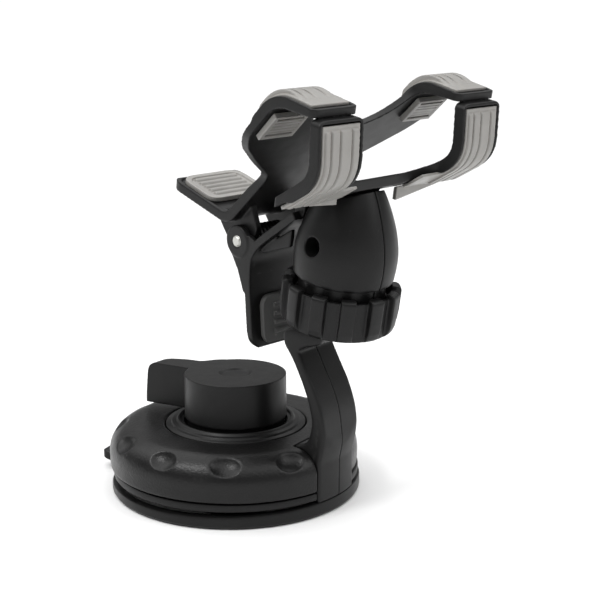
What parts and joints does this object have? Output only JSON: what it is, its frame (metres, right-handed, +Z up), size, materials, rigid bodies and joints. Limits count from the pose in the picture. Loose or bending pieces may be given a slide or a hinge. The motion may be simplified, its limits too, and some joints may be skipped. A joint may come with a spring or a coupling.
{
  "type": "phone mount",
  "caption": "Suction-base phone mount: round twist-lock base, bent arm, ball joint with a ribbed collar nut, and a spring clamp with paired curved fingers.",
  "frame": {"origin": "centre of the suction face", "axes": "+Z up out of the surface the cup holds to, +X towards the arm, the knob's wing and the pull tab on -X"},
  "size_m": [0.1202, 0.0812, 0.1272],
  "materials": {
    "shell": "fine-grained satin moulding",
    "soft_cup": "smooth soft rubber",
    "grip": "milky translucent soft plastic",
    "grip_dark": "matte soft rubber",
    "steel": "bright",
    "acetal": "smooth"
  },
  "bodies": {
    "base": {"suction_cup": "soft_cup", "base_plate": "shell", "dome_cover": "shell", "trim_ring": "shell", "cup_spring": "steel", "spring_washer": "steel", "base_screw_1": "steel", "base_screw_2": "steel", "base_screw_3": "steel", "arm_near_half": "shell", "arm_far_half": "shell", "foot_screw_1": "steel", "foot_screw_2": "steel", "arm_screw": "steel", "ball_stud": "shell"},
    "knob": {"lock_knob": "shell"},
    "stem": {"lift_stem": "acetal", "stem_pin": "steel"},
    "tilt_seat": {"ball_seat": "acetal"},
    "tilt_ring": {"friction_ring": "acetal"},
    "clamp": {"housing_near_half": "shell", "housing_far_half": "shell", "housing_screw": "steel", "lower_jaw": "shell", "lower_grip_near": "grip", "lower_grip_far": "grip", "finger_pad": "grip_dark", "hinge_pin": "steel", "torsion_spring": "steel"},
    "nut": {"collar_nut": "shell"},
    "upper_jaw": {"upper_jaw": "shell", "upper_grip_near": "grip", "upper_grip_far": "grip", "upper_inner_pad_near": "grip", "upper_inner_pad_far": "grip", "thumb_pad": "grip"}
  },
  "joints": [
    {"name": "knob_turn", "type": "hinge", "parent": "base", "child": "knob", "pos_m": [0, 0, 0.03], "axis": [0, 0, 1], "range_deg": [0, 90]},
    {"name": "stem_lift", "type": "slide", "parent": "base", "child": "stem", "axis": [0, 0, 1], "range_m": [0, 0.002], "deforming": ["cup_spring"]},
    {"name": "head_pitch", "type": "hinge", "parent": "base", "child": "tilt_seat", "pos_m": [0.03924, 0, 0.06789], "axis": [0.2006, 0.9791, 0.0343], "range_deg": [-6, 15]},
    {"name": "head_roll", "type": "hinge", "parent": "tilt_seat", "child": "tilt_ring", "pos_m": [0.03924, 0, 0.06789], "axis": [0.9629, -0.1907, -0.1908], "range_deg": [-8, 3]},
    {"name": "head_swivel", "type": "hinge", "parent": "tilt_ring", "child": "clamp", "pos_m": [0.03924, 0, 0.06789], "axis": [0.1803, -0.0713, 0.981], "continuous": true},
    {"name": "nut_turn", "type": "hinge", "parent": "clamp", "child": "nut", "pos_m": [0.03924, 0, 0.06789], "axis": [0.1803, -0.0713, 0.981], "range_deg": [-60, 0]},
    {"name": "jaw_open", "type": "hinge", "parent": "clamp", "child": "upper_jaw", "pos_m": [0.00842, 0.00591, 0.07939], "axis": [-0.2006, -0.9791, -0.0343], "range_deg": [0, 30], "stiffness_Nm_per_rad": 0.6, "springref_deg": -28.65}
  ],
  "couplings": [
    {"joint": "stem_lift", "follows": "knob_turn", "m_per_rad": 0.0012732}
  ]
}
